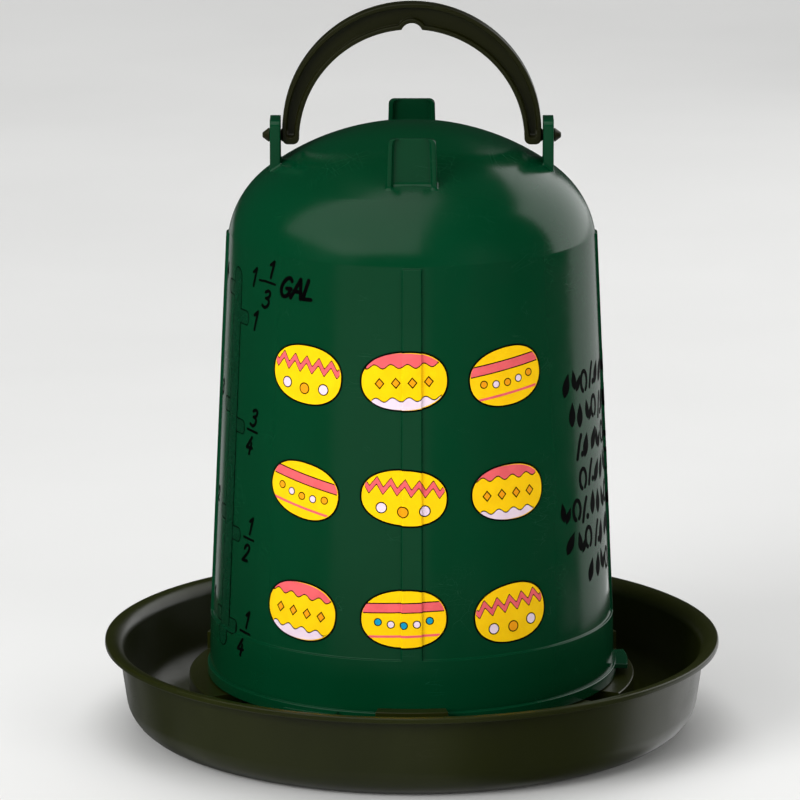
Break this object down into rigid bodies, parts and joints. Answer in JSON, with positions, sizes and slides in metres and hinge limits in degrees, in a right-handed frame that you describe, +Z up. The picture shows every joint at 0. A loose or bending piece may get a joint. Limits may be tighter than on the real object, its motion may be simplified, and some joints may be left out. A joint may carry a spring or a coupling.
{
  "type": "poultry waterer fount",
  "caption": "Poultry waterer: a domed plastic water fount stands on a raised ring inside a round drinking tray, with a swinging carrying handle on lugs at the top of the dome.",
  "frame": {"origin": "centre of the tray's underside, on the floor", "axes": "+Z up along the fount's axis; the front, between the gauge and the right side, faces -Y; the handle pivots about X"},
  "size_m": [0.268, 0.268, 0.3186],
  "materials": {
    "tray": "dark olive-black injection-moulded plastic, semi-gloss",
    "fount": "deep green injection-moulded plastic, glossy, with a printed gauge and printed decoration on the wall",
    "handle": "dark olive-black injection-moulded plastic, semi-gloss"
  },
  "bodies": {
    "tray": {"tray": "tray"},
    "fount": {"fount": "fount"},
    "handle": {"handle": "handle"}
  },
  "joints": [
    {"name": "fount_lift", "type": "slide", "parent": "tray", "child": "fount", "axis": [0, 0, 1], "range_m": [0, 0.08]},
    {"name": "handle_swing", "type": "hinge", "parent": "fount", "child": "handle", "pos_m": [0, 0, 0.261], "axis": [1, 0, 0], "range_deg": [-75, 75]}
  ]
}
